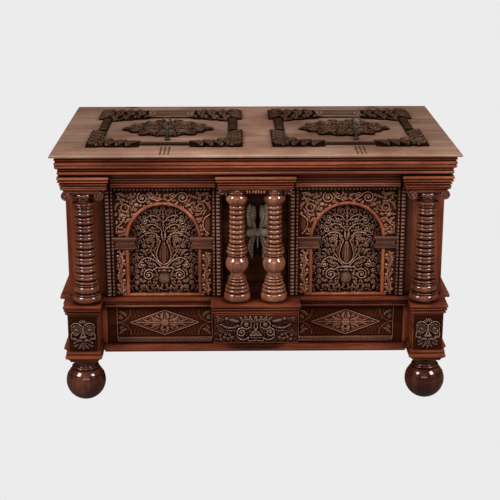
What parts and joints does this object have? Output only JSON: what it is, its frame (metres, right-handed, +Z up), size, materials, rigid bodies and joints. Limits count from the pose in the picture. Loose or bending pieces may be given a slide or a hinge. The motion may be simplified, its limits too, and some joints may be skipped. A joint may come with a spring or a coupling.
{
  "type": "document chest",
  "caption": "Carved oak document chest with a hinged moulded lid, lid locks with keys, turned columns, arched panels, a central niche and ball feet.",
  "frame": {"origin": "on the floor, under the middle of the lid", "axes": "+X to the right seen from the front, +Y to the back, +Z up"},
  "size_m": [1, 0.64, 0.7194],
  "materials": {
    "oak": "waxed red-brown oak",
    "carved_oak": "dark carved oak",
    "lid_oak": "faded oak board",
    "iron": "dark forged iron"
  },
  "bodies": {
    "carcase": {"front_board": "oak", "back_board": "oak", "bottom_board": "oak", "cornice_front": "oak", "cornice_break_centre": "oak", "ledge_front": "oak", "base_moulding_front": "oak", "side_board_left": "oak", "corner_post_left": "oak", "cornice_break_left": "oak", "cornice_left": "oak", "arch_frame_left": "oak", "capital_left": "oak", "column_left": "oak", "small_column_left": "oak", "ledge_left": "oak", "base_moulding_left": "oak", "pedestal_left": "oak", "foot_front_left": "oak", "foot_back_left": "oak", "side_board_right": "oak", "corner_post_right": "oak", "cornice_break_right": "oak", "cornice_right": "oak", "arch_frame_right": "oak", "capital_right": "oak", "column_right": "oak", "small_column_right": "oak", "ledge_right": "oak", "base_moulding_right": "oak", "pedestal_right": "oak", "foot_front_right": "oak", "foot_back_right": "oak", "plinth_front": "carved_oak", "centre_block": "carved_oak", "arch_panel_left": "carved_oak", "ripple_frame_left": "carved_oak", "arch_panel_right": "carved_oak", "ripple_frame_right": "carved_oak", "keeper_rail": "iron", "hinge_leaf_left": "iron", "hinge_pin_left": "iron", "hinge_leaf_right": "iron", "hinge_pin_right": "iron"},
    "lid": {"lid_board": "lid_oak", "lid_rim_front": "oak", "lid_rim_left": "oak", "lid_frame_left": "carved_oak", "lid_cartouche_left": "carved_oak", "lock_case_left": "iron", "hinge_strap_left": "iron", "lid_rim_right": "oak", "lid_frame_right": "carved_oak", "lid_cartouche_right": "carved_oak", "lock_case_right": "iron", "hinge_strap_right": "iron"},
    "key_left": {"key_left": "iron"},
    "bolt_left": {"bolt_left": "iron"},
    "key_right": {"key_right": "iron"},
    "bolt_right": {"bolt_right": "iron"}
  },
  "joints": [
    {"name": "lid_hinge", "type": "hinge", "parent": "carcase", "child": "lid", "pos_m": [0, 0.3118, 0.6387], "axis": [-1, 0, 0], "range_deg": [0, 95]},
    {"name": "key_left_turn", "type": "hinge", "parent": "lid", "child": "key_left", "pos_m": [-0.222, -0.143, 0.652], "axis": [0, 0, -1], "range_deg": [0, 95]},
    {"name": "bolt_left_slide", "type": "slide", "parent": "lid", "child": "bolt_left", "axis": [0, -1, 0], "range_m": [0, 0.012]},
    {"name": "key_right_turn", "type": "hinge", "parent": "lid", "child": "key_right", "pos_m": [0.257, -0.143, 0.652], "axis": [0, 0, -1], "range_deg": [0, 95]},
    {"name": "bolt_right_slide", "type": "slide", "parent": "lid", "child": "bolt_right", "axis": [0, -1, 0], "range_m": [0, 0.012]}
  ],
  "couplings": [
    {"joint": "key_left_turn", "follows": "bolt_left_slide", "rad_per_m": 130.9},
    {"joint": "key_right_turn", "follows": "bolt_right_slide", "rad_per_m": 130.9}
  ]
}
